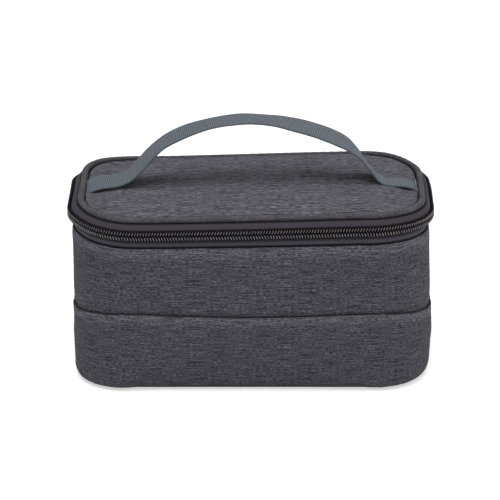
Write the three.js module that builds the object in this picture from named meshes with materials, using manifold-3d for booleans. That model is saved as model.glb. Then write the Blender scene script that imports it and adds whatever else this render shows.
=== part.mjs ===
// A soft cooler bag with a zipped lid and a webbing handle.
// Millimetres, +Z up. +X is the width, +Y points to the back, where the lid is hinged.
// The origin is the middle of the flat bottom.
// Most pieces are closed bands that run round the bag, so they are given as a section of
// [radius, height] points. A radius is measured outwards from the bag's core rectangle, whose
// corners are the centres of the rounded corners.

import * as THREE from "three";
import { mergeVertices } from "three/addons/utils/BufferGeometryUtils.js";
import Module from "manifold-3d";

const wasm = await Module();
wasm.setup();

// Overall form, measured at the zip, which stands out furthest
const ridgeWidth = 236;
const ridgeDepth = 132;
const ridgeCornerRadius = 43;
const zipHeight = 110;
const cornerSteps = 7;

// Body profile: how far the wall stands inside the zip ridge at three heights, and how far the
// middle of the long sides swells beyond that
const mouthDrop = 9.2;
const mouthInset = 2.8;
const bellyHeight = 50;
const bellyInset = 0.9;
const baseInset = 1.4;
const longSideSwell = 4.5;
const longSideSteps = 4;
const midSeamHeight = 54;
const lowerWrapProud = 0.4;
const bottomEdgeRadius = 10;
const wallSteps = 2;
const edgeSteps = 4;

// Layers
const seatGap = 0.3;
const fabricThickness = 0.9;
const foamThickness = 5;
const liningThickness = 0.6;
const bindingThickness = 1.2;
const bindingDepth = 8;
const baseBindingHeight = 6;

// Lid
const pipingRise = 8.2;
const pipingRadius = 2.1;
const pipingInset = 8.6;
const pipingSides = 8;
const pipingSeatAngle = -20;
const lidDomeHeight = 3;
const lidFoamThickness = 5;
const lidBindingHeight = 5;

// Zip
const tapeThickness = 0.6;
const teethThickness = 2;
const chainHeight = 6;
const toothPitch = 1.8;
const toothReach = 0.8;
const toothGap = 0.2;
const toothTaper = 0.08;
const spineHeight = 1.2;

// Slider and puller
const sliderLength = 11;
const sliderPlateHeight = 8.4;
const sliderInnerHeight = 6;
const sliderInnerCut = 0.6;
const sliderPlateThickness = 1;
const sliderNeckHeight = 1.6;
const sliderNeckLength = 2.8;
const sliderParkAngle = 82;
const plateCornerRadius = 1.4;
const plateTailShare = 0.8;
const flangeSetback = 2;
const flangeLength = 6.2;
const bridgeWidth = 2.2;
const bridgeWall = 1;
const bridgeFlare = 0.5;
const eyeClearance = 0.17;
const pullerPinSize = 1.2;
const pullerLength = 24;
const pullerWidth = 6.2;
const pullerRail = 1.2;
const pullerHoleRadius = 1.4;

// Hinge strip at the back
const hingeStripThickness = 1.1;
const hingeStripProud = 1.2;

// Handle
const webbingWidth = 20;
const webbingThickness = 1.6;
const handleSpan = 162;
const handleHeight = 45;
const archSteps = 26;
const archFullness = 1.3;
const endSteps = 4;
const footSides = 32;

// Core rectangle
const coreX = ridgeWidth / 2 - ridgeCornerRadius;
const coreY = ridgeDepth / 2 - ridgeCornerRadius;

const colours = {
  fabric: 0x49484f,
  piping: 0x4b4a4e,
  webbing: 0x585e64,
  foam: 0xe6e6e2,
  lining: 0xb9bcc0,
  binding: 0x232226,
  tape: 0x3d3b41,
  teeth: 0x161517,
  metal: 0x4b4c50,
};

function material(colour, roughness, metalness = 0) {
  return new THREE.MeshStandardMaterial({ color: colour, roughness, metalness });
}

const fabric = material(colours.fabric, 0.9);
const pipingFabric = material(colours.piping, 0.85);
const webbingCloth = material(colours.webbing, 0.75);
const foam = material(colours.foam, 0.95);
const foil = material(colours.lining, 0.35, 0.6);
const binding = material(colours.binding, 0.9);
const tapeCloth = material(colours.tape, 0.85);
const nylon = material(colours.teeth, 0.35);
const metal = material(colours.metal, 0.4, 0.8);

const bag = new THREE.Group();

function addPiece(name, geometry, finish, parent = bag) {
  const mesh = new THREE.Mesh(geometry, finish);
  mesh.name = name;
  parent.add(mesh);
  return mesh;
}

// A closed body from points and triangles, turned so that its faces point out.
function closedBody(points, triangles) {
  const volume = triangles.reduce((sum, [a, b, c]) => {
    const normal = new THREE.Vector3().crossVectors(points[b], points[c]);
    return sum + points[a].dot(normal);
  }, 0);
  const index = triangles.flatMap(([a, b, c]) => (volume > 0 ? [a, b, c] : [a, c, b]));
  const geometry = new THREE.BufferGeometry().setFromPoints(points);
  geometry.setIndex(index);
  geometry.computeVertexNormals();
  return geometry;
}

// Stations round the bag. Each has its core point and its outward direction.
function cornerStations(signX, signY, startAngle) {
  const centre = new THREE.Vector2(signX * coreX, signY * coreY);
  return Array.from({ length: cornerSteps + 1 }, (_, i) => {
    const angle = ((startAngle + (90 * i) / cornerSteps) * Math.PI) / 180;
    const out = new THREE.Vector2(Math.cos(angle), Math.sin(angle));
    return { core: centre, out };
  });
}

const rearLeft = cornerStations(-1, 1, 90);
const frontLeft = cornerStations(-1, -1, 180);
const frontRight = cornerStations(1, -1, 270);
const rearRight = cornerStations(1, 1, 0);
const zipRoute = [...rearLeft, ...frontLeft, ...frontRight, ...rearRight];

// Stations along a long side, each with the swell of the wall there. Side is 1 for the back.
function longSide(side) {
  return Array.from({ length: longSideSteps - 1 }, (_, i) => {
    const share = 1 - (2 * (i + 1)) / longSideSteps;
    const core = new THREE.Vector2(side * coreX * share, side * coreY);
    return { core, out: new THREE.Vector2(0, side), swell: longSideSwell * (1 - share * share) };
  });
}

const frontRoute = [...rearLeft, ...frontLeft, ...longSide(-1)];
const wallRoute = [...frontRoute, ...frontRight, ...rearRight, ...longSide(1)];

const straightBack = [1, -1].map((side) => ({
  core: new THREE.Vector2(side * (coreX - seatGap), coreY),
  out: new THREE.Vector2(0, 1),
}));

function stationPoint(station, radius, height) {
  const { core, out } = station;
  return new THREE.Vector3(core.x + out.x * radius, core.y + out.y * radius, height);
}

// A section of [radius, height] points carried along stations, all the way round or with two ends.
// It is given as a function of the station. Each face is split from its low corner at one station
// to its high corner at the next, so that nested bands split alike.
function band(sectionAt, stations, goesRound) {
  const section = sectionAt(stations[0]);
  const count = section.length;
  const points = stations.flatMap((s) => sectionAt(s).map(([r, z]) => stationPoint(s, r, z)));
  const triangles = [];
  const spans = goesRound ? stations.length : stations.length - 1;
  for (let i = 0; i < spans; i += 1) {
    const here = i * count;
    const next = ((i + 1) % stations.length) * count;
    for (let j = 0; j < count; j += 1) {
      const k = (j + 1) % count;
      if (section[k][1] > section[j][1]) {
        triangles.push([here + j, next + j, next + k], [here + j, next + k, here + k]);
      } else {
        triangles.push([here + j, next + j, here + k], [here + k, next + j, next + k]);
      }
    }
  }
  if (!goesRound) {
    const outline = section.map(([r, z]) => new THREE.Vector2(r, z));
    const last = (stations.length - 1) * count;
    const reversed = THREE.ShapeUtils.isClockWise(outline);
    for (const face of THREE.ShapeUtils.triangulateShape(outline, [])) {
      const [a, b, c] = reversed ? face.toReversed() : face;
      triangles.push([a, b, c], [last + c, last + b, last + a]);
    }
  }
  return closedBody(points, triangles);
}

const ring = (section) => band(() => section, zipRoute, true);
const zipBand = (section) => band(() => section, zipRoute, false);
const backBand = (section) => band(() => section, straightBack, false);
const wallRing = (sectionFor) => band(({ swell = 0 }) => sectionFor(swell), wallRoute, true);

// A plate whose edge follows a profile of [radius, height] points, with flat faces.
function plate(profile) {
  const count = zipRoute.length;
  const points = profile.flatMap(([r, z]) => zipRoute.map((s) => stationPoint(s, r, z)));
  const triangles = [];
  for (let level = 0; level + 1 < profile.length; level += 1) {
    for (let i = 0; i < count; i += 1) {
      const here = level * count + i;
      const next = level * count + ((i + 1) % count);
      triangles.push([here, next, next + count], [here, next + count, here + count]);
    }
  }
  const top = (profile.length - 1) * count;
  for (let i = 1; i + 1 < count; i += 1) {
    triangles.push([0, i + 1, i], [top, top + i, top + i + 1]);
  }
  return closedBody(points, triangles);
}

// The lid's crown: its height above the lid's edge, for an outline shrunk to a scale.
const crown = (scale) => lidDomeHeight * (1 - scale * scale);
const crownScales = [1, 0.8, 0.5];

// A domed plate. Its faces are given as functions of the outline's scale.
function domedPlate(radius, topHeight, bottomHeight, bottomScales) {
  const count = zipRoute.length;
  const rings = [
    ...bottomScales.toReversed().map((scale) => ({ scale, height: bottomHeight(scale) })),
    ...crownScales.map((scale) => ({ scale, height: topHeight(scale) })),
  ];
  const points = rings.flatMap(({ scale, height }) =>
    zipRoute.map((s) => {
      const edge = stationPoint(s, radius, height);
      return new THREE.Vector3(edge.x * scale, edge.y * scale, height);
    }),
  );
  const triangles = [];
  for (let level = 0; level + 1 < rings.length; level += 1) {
    for (let i = 0; i < count; i += 1) {
      const here = level * count + i;
      const next = level * count + ((i + 1) % count);
      triangles.push([here, next, next + count], [here, next + count, here + count]);
    }
  }
  const bottomMiddle = points.push(new THREE.Vector3(0, 0, bottomHeight(0))) - 1;
  const topMiddle = points.push(new THREE.Vector3(0, 0, topHeight(0))) - 1;
  const top = (rings.length - 1) * count;
  for (let i = 0; i < count; i += 1) {
    const next = (i + 1) % count;
    triangles.push([bottomMiddle, next, i], [topMiddle, top + i, top + next]);
  }
  return closedBody(points, triangles);
}

// The outline of a ribbon of a given thickness that follows a line of points.
function ribbonOutline(line, thickness) {
  const path = line.map(([x, y]) => new THREE.Vector2(x, y));
  const offset = (side) =>
    path.map((point, i) => {
      const before = path[Math.max(i - 1, 0)];
      const after = path[Math.min(i + 1, path.length - 1)];
      const into = point.clone().sub(before).normalize();
      const onwards = after.clone().sub(point).normalize();
      const along = into.clone().add(onwards).normalize();
      const longer = into.length() && onwards.length() ? 1 / along.dot(into) : 1;
      const reach = (side * thickness * longer) / 2;
      return [point.x - along.y * reach, point.y + along.x * reach];
    });
  return [...offset(1), ...offset(-1).toReversed()];
}

const rectangle = (r0, z0, r1, z1) => [[r0, z0], [r1, z0], [r1, z1], [r0, z1]];

// Points of an arc in a section, from one angle to another, in degrees.
function arc(centreR, centreZ, radius, from, to, steps) {
  return Array.from({ length: steps + 1 }, (_, i) => {
    const angle = ((from + ((to - from) * i) / steps) * Math.PI) / 180;
    return [centreR + radius * Math.cos(angle), centreZ + radius * Math.sin(angle)];
  });
}

// Body levels and radii
const mouthHeight = zipHeight - mouthDrop;
const baseHeight = bottomEdgeRadius + seatGap;

// Outer radius of the wall: fullest at the belly and drawn in towards the mouth and the base.
function wallRadius(height, swell = 0) {
  const upper = height > bellyHeight;
  const reach = upper ? mouthHeight - bellyHeight : bellyHeight - baseHeight;
  const drawnIn = (upper ? mouthInset : baseInset) - bellyInset;
  const share = (height - bellyHeight) / reach;
  return ridgeCornerRadius - bellyInset + swell - (drawnIn + swell) * share * share;
}

const wallHeights = (from, to, steps) =>
  Array.from({ length: steps + 1 }, (_, i) => from + ((to - from) * i) / steps);

const mouthRadius = wallRadius(mouthHeight);
const foamInner = mouthRadius - fabricThickness - seatGap - foamThickness;
const liningOuter = foamInner - seatGap;
const liningInner = liningOuter - liningThickness;
const bindingOuter = liningInner - seatGap;
const bindingInner = bindingOuter - bindingThickness;
const foamTop = mouthHeight - fabricThickness - seatGap;

// The rounded bottom edge, which the lower wrap and the foam share
const edgeCentreR = wallRadius(baseHeight) + lowerWrapProud - bottomEdgeRadius;
const foamEdgeRadius = bottomEdgeRadius - fabricThickness - seatGap;

// Height of the foam's underside at a radius: flat, then rising along the rounded edge.
function foamUnderside(radius) {
  const out = Math.max(radius - edgeCentreR, 0);
  return baseHeight - Math.sqrt(Math.max(foamEdgeRadius ** 2 - out ** 2, 0));
}

const bottomFoamBottom = foamUnderside(0);
const bottomFoamTop = bottomFoamBottom + foamThickness;
const bottomLiningBottom = bottomFoamTop + seatGap;
const insideFloor = bottomLiningBottom + liningThickness;

function upperWrap(swell) {
  const heights = wallHeights(midSeamHeight + seatGap / 2, mouthHeight, wallSteps);
  const face = (depth) => heights.map((z) => [wallRadius(z, swell) - depth, z]);
  return [...face(0), ...face(fabricThickness).toReversed()];
}

function lowerWrap(swell) {
  const heights = wallHeights(baseHeight, midSeamHeight - seatGap / 2, wallSteps);
  const face = (depth) => heights.map((z) => [wallRadius(z, swell) + lowerWrapProud - depth, z]);
  const edge = (radius) => arc(edgeCentreR, baseHeight, radius, -90, 0, edgeSteps).slice(0, -1);
  const outside = [...edge(bottomEdgeRadius), ...face(0)];
  const inside = [...edge(bottomEdgeRadius - fabricThickness), ...face(fabricThickness)];
  return [...outside, ...inside.toReversed()];
}

function wallFoam(swell) {
  const skin = fabricThickness + seatGap;
  const below = wallHeights(baseHeight, midSeamHeight, wallSteps);
  const above = wallHeights(midSeamHeight, mouthHeight, wallSteps).slice(1, -1);
  const heights = [...below, ...above, foamTop];
  const outside = heights.map((z) => [wallRadius(z, swell) - skin, z]);
  const start = (Math.acos((foamInner - edgeCentreR) / foamEdgeRadius) * 180) / Math.PI;
  const edge = arc(edgeCentreR, baseHeight, foamEdgeRadius, -start, 0, edgeSteps - 1).slice(0, -1);
  return [...edge, ...outside, [foamInner, foamTop]];
}

function bottomFoam() {
  const turn = Math.min(edgeCentreR, liningOuter - seatGap);
  return plate([
    [turn, foamUnderside(turn)],
    [liningOuter, foamUnderside(liningOuter)],
    [liningOuter, bottomFoamTop],
  ]);
}

function mouthBinding() {
  const lip = foamTop + seatGap;
  const outer = mouthRadius - fabricThickness - seatGap;
  return ring([
    [bindingInner, lip - bindingDepth],
    [bindingOuter, lip - bindingDepth],
    [bindingOuter, lip],
    [outer, lip],
    [outer, mouthHeight],
    [bindingInner, mouthHeight],
  ]);
}

addPiece("upper_wrap", wallRing(upperWrap), fabric);
addPiece("lower_wrap", wallRing(lowerWrap), fabric);
const panelRadius = edgeCentreR - seatGap;
addPiece("bottom_panel", plate([[panelRadius, 0], [panelRadius, fabricThickness]]), fabric);
addPiece("wall_foam", wallRing(wallFoam), foam);
addPiece("bottom_foam", bottomFoam(), foam);
const wallLiningSection = rectangle(liningInner, bottomLiningBottom, liningOuter, foamTop);
addPiece("wall_lining", ring(wallLiningSection), foil);
// The bottom lining ends inside the binding that holds its seam with the wall lining.
const floorEdge = bindingInner - seatGap;
const bottomLiningEdge = [[floorEdge, bottomLiningBottom], [floorEdge, insideFloor]];
addPiece("bottom_lining", plate(bottomLiningEdge), foil);
const baseBindingFoot = bottomLiningBottom;
const baseBindingTop = baseBindingFoot + baseBindingHeight;
const baseBindingSection = rectangle(bindingInner, baseBindingFoot, bindingOuter, baseBindingTop);
addPiece("base_seam_binding", ring(baseBindingSection), binding);
addPiece("mouth_binding", mouthBinding(), binding);

// Zip radii. The teeth stand on the outside of the tape, and each tape stops short of the neck.
const teethOuter = ridgeCornerRadius;
const teethInner = teethOuter - teethThickness;
const tapeMiddle = teethInner - seatGap - tapeThickness / 2;
const tapeInner = tapeMiddle - tapeThickness / 2;
const tapeEdge = sliderNeckHeight / 2 + seatGap;
const chainHalf = chainHeight / 2;

// Piping and lid levels
const pipingHeight = zipHeight + pipingRise;
const pipingMiddle = ridgeCornerRadius - pipingInset;
const panelEdge = pipingMiddle - pipingRadius - seatGap;
const panelTop = pipingHeight + seatGap;
const panelBottom = panelTop - fabricThickness;

// The seam where the tape and the hinge strip meet the piping, a little below its middle
function pipingSeat(thickness) {
  const reach = pipingRadius + seatGap + thickness / 2;
  const slope = (pipingSeatAngle * Math.PI) / 180;
  return [pipingMiddle + reach * Math.cos(slope), pipingHeight + reach * Math.sin(slope)];
}

function bodyTape() {
  const foot = [mouthRadius - fabricThickness / 2, mouthHeight + seatGap];
  const bend = [tapeMiddle, zipHeight - chainHalf];
  return zipBand(ribbonOutline([foot, bend, [tapeMiddle, zipHeight - tapeEdge]], tapeThickness));
}

function lidTape() {
  const bend = [tapeMiddle, zipHeight + chainHalf + seatGap];
  const line = [[tapeMiddle, zipHeight + tapeEdge], bend, pipingSeat(tapeThickness)];
  return zipBand(ribbonOutline(line, tapeThickness));
}

// The route of the teeth, measured along the middle of the chain
const teethMiddle = (teethOuter + teethInner) / 2;
const teethRoute = zipRoute.reduce((route, station) => {
  const place = stationPoint(station, teethMiddle, 0);
  const last = route[route.length - 1];
  const distance = last ? last.distance + last.place.distanceTo(place) : 0;
  return [...route, { ...station, place, distance }];
}, []);

// A point at a distance along the route, on the straight line between two stations.
function routePoint(distance, radius, height) {
  const after = teethRoute.findIndex((s) => s.distance > distance);
  const next = after < 1 ? teethRoute.length - 1 : after;
  const from = teethRoute[next - 1];
  const to = teethRoute[next];
  const share = (distance - from.distance) / (to.distance - from.distance);
  const start = stationPoint(from, radius, height);
  return start.lerp(stationPoint(to, radius, height), share);
}

// One row of teeth on its spine, between two distances. Side is 1 for the lid and -1 for the body.
function teethRow(from, to, side, phase) {
  const spineEdge = zipHeight + side * chainHalf;
  const spineFace = spineEdge - side * spineHeight;
  const tip = zipHeight - side * toothReach;
  const halfAtParting = (toothPitch / 2 - toothGap) / 2;
  const halfTip = halfAtParting - toothReach * toothTaper;
  const halfRoot = halfAtParting + (chainHalf - spineHeight) * toothTaper;
  const first = Math.ceil((from + toothPitch / 2) / toothPitch - phase);
  const last = Math.floor((to - toothPitch / 2) / toothPitch - phase);
  const teeth = Array.from({ length: last - first + 1 }, (_, i) => (first + i + phase) * toothPitch);
  const comb = [[from, spineFace]];
  for (const middle of teeth) {
    comb.push([middle - halfRoot, spineFace], [middle - halfTip, tip]);
    comb.push([middle + halfTip, tip], [middle + halfRoot, spineFace]);
  }
  comb.push([to, spineFace]);
  const inside = teethRoute.filter((s) => s.distance > from + seatGap && s.distance < to - seatGap);
  const edge = [from, ...inside.map((s) => s.distance), to].map((d) => [d, spineEdge]);
  return combBody(comb, edge);
}

// Closes a comb outline against its straight edge, on the inner and the outer face.
function combBody(comb, edge) {
  const all = [...comb, ...edge];
  const count = all.length;
  const faces = [teethInner, teethOuter];
  const points = faces.flatMap((radius) => all.map(([d, z]) => routePoint(d, radius, z)));
  const flat = [];
  const root = [0];
  for (let i = 1; i + 1 < comb.length; i += 4) {
    flat.push([i, i + 1, i + 2], [i, i + 2, i + 3]);
    root.push(i, i + 3);
  }
  root.push(comb.length - 1);
  let a = 0;
  let b = 0;
  while (a + 1 < root.length || b + 1 < edge.length) {
    const here = root[a];
    const across = comb.length + b;
    const rootNext = a + 1 < root.length ? comb[root[a + 1]][0] : Infinity;
    const edgeNext = b + 1 < edge.length ? edge[b + 1][0] : Infinity;
    if (rootNext <= edgeNext) {
      flat.push([here, root[a + 1], across]);
      a += 1;
    } else {
      flat.push([here, across + 1, across]);
      b += 1;
    }
  }
  const rim = [...comb.keys(), ...edge.keys().map((i) => count - 1 - i)];
  const triangles = [];
  for (const [p, q, r] of flat) {
    triangles.push([p, q, r], [r + count, q + count, p + count]);
  }
  rim.forEach((p, i) => {
    const q = rim[(i + 1) % rim.length];
    triangles.push([q, p, p + count], [q, p + count, q + count]);
  });
  return closedBody(points, triangles);
}

const routeLength = teethRoute[teethRoute.length - 1].distance;
const turnLength = teethRoute[cornerSteps].distance;
const parkAngle = (sliderParkAngle * Math.PI) / 180;
const parkFromEnd = turnLength * (1 - sliderParkAngle / 90);
const neckStart = sliderLength / 2 - sliderNeckLength - seatGap;
const runStart = routeLength - turnLength;
const runEnd = routeLength - parkFromEnd + neckStart - seatGap;

addPiece("body_zip_tape", bodyTape(), tapeCloth);
addPiece("body_zip_teeth", teethRow(0, runStart - seatGap / 2, -1, 0.5), nylon);
addPiece("body_zip_teeth_run", teethRow(runStart + seatGap / 2, runEnd, -1, 0.5), nylon);

// The lid's pieces, closed at rest
const lid = new THREE.Group();
bag.add(lid);

const panelLayer = fabricThickness + seatGap;
const lidFoamBottom = panelBottom - seatGap - lidFoamThickness;
const lidLiningTop = lidFoamBottom - seatGap;
const lidLiningBottom = lidLiningTop - liningThickness;
const lidBindingInner = panelEdge + seatGap;
const lidBindingTop = pipingHeight - pipingRadius - seatGap;
const lidBindingOuter = lidBindingInner + 2 * bindingThickness;
const lidBindingBottom = lidBindingTop - lidBindingHeight;

const panelFace = (scale) => panelTop + crown(scale);
const panelUnderside = (scale) => panelFace(scale) - fabricThickness;
const foamFace = (scale) => panelFace(scale) - panelLayer;

const topPanel = domedPlate(panelEdge, panelFace, panelUnderside, crownScales);
addPiece("lid_top_panel", topPanel, fabric, lid);
const lastSide = 360 - 360 / pipingSides;
const pipingSection = arc(
  pipingMiddle,
  pipingHeight,
  pipingRadius,
  0,
  lastSide,
  pipingSides - 1,
);
addPiece("lid_piping", ring(pipingSection), pipingFabric, lid);
const lidFoam = domedPlate(panelEdge, foamFace, () => lidFoamBottom, [1]);
addPiece("lid_foam", lidFoam, foam, lid);
const lidLiningEdge = [[panelEdge, lidLiningBottom], [panelEdge, lidLiningTop]];
addPiece("lid_lining", plate(lidLiningEdge), foil, lid);
const lidBindingSection = rectangle(
  lidBindingInner,
  lidBindingBottom,
  lidBindingOuter,
  lidBindingTop,
);
addPiece("lid_seam_binding", ring(lidBindingSection), binding, lid);
addPiece("lid_zip_tape", lidTape(), tapeCloth, lid);
addPiece("lid_zip_teeth", teethRow(0, runStart - seatGap / 2, 1, 0), nylon, lid);
addPiece("lid_zip_teeth_run", teethRow(runStart + seatGap / 2, runEnd, 1, 0), nylon, lid);

// The hinge strip, in one half on each side of the parting line
const stripFold = ridgeCornerRadius - hingeStripThickness / 2;
const stripBend = stripFold - hingeStripProud;

// The upright stretch of the strip at the fold, above or below the parting line
const stripEdge = (side) => [
  [stripFold, zipHeight + side * hingeStripThickness],
  [stripFold, zipHeight + (side * seatGap) / 2],
];

function hingeStripBody() {
  const foot = [mouthRadius - hingeStripThickness / 2, mouthHeight + seatGap];
  const bend = [stripBend, zipHeight - chainHalf];
  return backBand(ribbonOutline([foot, bend, ...stripEdge(-1)], hingeStripThickness));
}

function hingeStripLid() {
  const bend = [stripBend, zipHeight + chainHalf];
  const line = [...stripEdge(1).toReversed(), bend, pipingSeat(hingeStripThickness)];
  return backBand(ribbonOutline(line, hingeStripThickness));
}

addPiece("hinge_strip_body", hingeStripBody(), fabric);
addPiece("hinge_strip_lid", hingeStripLid(), fabric, lid);

// Handle
function solidOf(geometry) {
  const bare = geometry.clone();
  bare.deleteAttribute("normal");
  bare.deleteAttribute("uv");
  const merged = mergeVertices(bare, 1e-4);
  const vertProperties = merged.attributes.position.array;
  const triVerts = new Uint32Array(merged.index.array);
  return new wasm.Manifold(new wasm.Mesh({ numProp: 3, vertProperties, triVerts }));
}

function geometryOf(solid) {
  const mesh = solid.getMesh();
  const geometry = new THREE.BufferGeometry();
  geometry.setAttribute("position", new THREE.BufferAttribute(mesh.vertProperties, 3));
  geometry.setIndex(new THREE.BufferAttribute(mesh.triVerts, 1));
  geometry.computeVertexNormals();
  return geometry;
}

// A side view in X and Z, extruded across the bag in Y.
function acrossBag(outline, width) {
  const shape = new THREE.Shape(outline.map(([x, z]) => new THREE.Vector2(x, z)));
  const geometry = new THREE.ExtrudeGeometry(shape, { depth: width, bevelEnabled: false });
  return geometry.rotateX(Math.PI / 2).translate(0, width / 2, 0);
}

const lidHalfWidth = coreX + panelEdge;
const lidSurface = (x) => panelFace(Math.abs(x) / lidHalfWidth);
const footX = handleSpan / 2;
const footHeight = lidSurface(footX - webbingThickness) + seatGap;
const handlePivotHeight = footHeight + webbingWidth / 2;

function handleEnd(side) {
  const from = footX + webbingThickness / 2 + seatGap;
  const to = lidHalfWidth - seatGap;
  const above = seatGap + webbingThickness / 2;
  const line = wallHeights(from, to, endSteps).map((x) => [side * x, lidSurface(x) + above]);
  return acrossBag(ribbonOutline(line, webbingThickness), webbingWidth);
}

// The arch ends in round feet, so that it can swing over the flat lid.
function handleArch() {
  const line = Array.from({ length: archSteps + 1 }, (_, i) => {
    const turn = (Math.PI * i) / archSteps;
    const share = Math.max(Math.sin(turn), 0) ** archFullness;
    return [footX * Math.cos(turn), footHeight + (handleHeight - webbingThickness / 2) * share];
  });
  const strap = solidOf(acrossBag(ribbonOutline(line, webbingThickness), webbingWidth));
  const length = handleSpan + 2 * webbingWidth;
  const below = new THREE.BoxGeometry(length, 2 * webbingWidth, webbingWidth);
  below.translate(0, 0, handlePivotHeight - webbingWidth / 2);
  const footRadius = webbingWidth / 2;
  const through = length + 2 * seatGap;
  const round = new THREE.CylinderGeometry(footRadius, footRadius, through, footSides);
  round.rotateZ(Math.PI / 2).translate(0, 0, handlePivotHeight);
  const trimming = solidOf(below).subtract(solidOf(round));
  return geometryOf(strap.subtract(trimming));
}

addPiece("handle_end_left", handleEnd(-1), webbingCloth, lid);
addPiece("handle_end_right", handleEnd(1), webbingCloth, lid);
addPiece("handle_webbing", handleArch(), webbingCloth, lid);

// Slider, parked at the back of the right rear corner. In its own frame +Y points out of the bag
// and -X points to the closed end of the zip.
const slider = new THREE.Group();
slider.position.set(coreX, coreY, zipHeight);
slider.rotation.z = parkAngle - Math.PI / 2;
bag.add(slider);

const halfLength = sliderLength / 2;
const plateInnerFace = teethOuter + seatGap;
const plateOuterFace = plateInnerFace + sliderPlateThickness;
const curveDrop = halfLength ** 2 / (2 * tapeInner);
const innerPlateOut = tapeInner - curveDrop - seatGap;
const innerPlateIn = innerPlateOut - sliderPlateThickness;
const eyeRadius = pullerPinSize * Math.SQRT1_2 + eyeClearance;
const pullerPivot = plateOuterFace + eyeRadius + seatGap / 2;
const bridgeRadius = eyeRadius + bridgeWall;
const bridgeFoot = bridgeRadius + bridgeFlare;

// A slider plate seen from outside: round shoulders at the closed end and a narrower tail.
function plateShape(top, bottom) {
  const round = plateCornerRadius;
  const shape = new THREE.Shape();
  shape.moveTo(-halfLength + round, bottom);
  shape.lineTo(0, bottom);
  shape.lineTo(halfLength, bottom * plateTailShare);
  shape.lineTo(halfLength, top * plateTailShare);
  shape.lineTo(0, top);
  shape.lineTo(-halfLength + round, top);
  shape.quadraticCurveTo(-halfLength, top, -halfLength, top - round);
  shape.lineTo(-halfLength, bottom + round);
  shape.quadraticCurveTo(-halfLength, bottom, -halfLength + round, bottom);
  return shape;
}

// Extrudes a shape drawn in X and Z along Y, from one distance out to another.
function outwards(shape, from, to) {
  const settings = { depth: to - from, bevelEnabled: false, curveSegments: 4 };
  const geometry = new THREE.ExtrudeGeometry(shape, settings);
  return geometry.rotateX(Math.PI / 2).translate(0, to, 0);
}

function box(x0, y0, z0, x1, y1, z1) {
  const geometry = new THREE.BoxGeometry(x1 - x0, y1 - y0, z1 - z0);
  return geometry.translate((x0 + x1) / 2, (y0 + y1) / 2, (z0 + z1) / 2);
}

// The bridge over the outer plate, seen from above, with the eye for the puller's pin.
function bridge() {
  const foot = plateOuterFace - sliderPlateThickness / 2;
  const shape = new THREE.Shape();
  shape.moveTo(bridgeFoot, foot);
  shape.lineTo(bridgeRadius, pullerPivot);
  shape.absarc(0, pullerPivot, bridgeRadius, 0, Math.PI, false);
  shape.lineTo(-bridgeFoot, foot);
  const eye = new THREE.Path();
  eye.absarc(0, pullerPivot, eyeRadius, 0, 2 * Math.PI, true);
  shape.holes.push(eye);
  const settings = { depth: bridgeWidth, bevelEnabled: false, curveSegments: 6 };
  return new THREE.ExtrudeGeometry(shape, settings).translate(0, 0, -bridgeWidth / 2);
}

function sliderSolid() {
  const halfPlate = sliderPlateHeight / 2;
  const halfInner = sliderInnerHeight / 2;
  const halfNeck = sliderNeckHeight / 2;
  const flangeTop = -chainHalf - seatGap;
  const bite = sliderPlateThickness / 2;
  const outerPlate = outwards(plateShape(halfPlate, -halfPlate), plateInnerFace, plateOuterFace);
  const innerShape = plateShape(halfInner - sliderInnerCut, -halfInner);
  const innerPlate = outwards(innerShape, innerPlateIn, innerPlateOut);
  const neckEnd = sliderNeckLength - halfLength;
  const neck = box(-halfLength + seatGap, innerPlateOut - bite, -halfNeck,
    neckEnd, plateInnerFace + bite, halfNeck);
  const flangeStart = flangeSetback - halfLength;
  const flange = box(flangeStart, teethInner + seatGap, -halfPlate,
    flangeStart + flangeLength, plateInnerFace + bite, flangeTop);
  return [innerPlate, neck, flange, bridge()].reduce(
    (solid, piece) => solid.add(solidOf(piece)),
    solidOf(outerPlate),
  );
}

// The puller lies along the slider, with its pin through the bridge's eye.
function pullerGeometry() {
  const pin = pullerPinSize / 2;
  const slotEnd = bridgeFoot + seatGap + pin;
  const slotHalf = bridgeWidth / 2 + seatGap;
  const headHalf = slotHalf + pullerRail;
  const bladeHalf = pullerWidth / 2;
  const tip = pullerLength - bladeHalf;
  const shape = new THREE.Shape();
  shape.moveTo(pin, -headHalf);
  shape.lineTo(pin, headHalf);
  shape.lineTo(-slotEnd, headHalf);
  shape.lineTo(-slotEnd - bladeHalf, bladeHalf);
  shape.lineTo(-tip, bladeHalf);
  shape.absarc(-tip, 0, bladeHalf, Math.PI / 2, (3 * Math.PI) / 2, false);
  shape.lineTo(-slotEnd - bladeHalf, -bladeHalf);
  shape.lineTo(-slotEnd, -headHalf);
  const slot = new THREE.Path();
  slot.moveTo(-pin, -slotHalf);
  slot.lineTo(-slotEnd, -slotHalf);
  slot.lineTo(-slotEnd, slotHalf);
  slot.lineTo(-pin, slotHalf);
  shape.holes.push(slot);
  const hole = new THREE.Path();
  hole.absarc(-tip, 0, pullerHoleRadius, 0, 2 * Math.PI, true);
  shape.holes.push(hole);
  return outwards(shape, pullerPivot - pin, pullerPivot + pin);
}

addPiece("zip_slider", geometryOf(sliderSolid()), metal, slider);
addPiece("zip_puller", pullerGeometry(), metal, slider);

export default bag;
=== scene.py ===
# Looks of the cooler bag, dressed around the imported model.
# Lengths are millimetres until a mesh is made, and the mesh is in metres.
# Most pieces run round the bag. They are given as a section of (radius, height) points that is
# carried along a route of stations, and a radius is measured outwards from the core rectangle,
# whose corners are the centres of the bag's rounded corners.

import math

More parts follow.
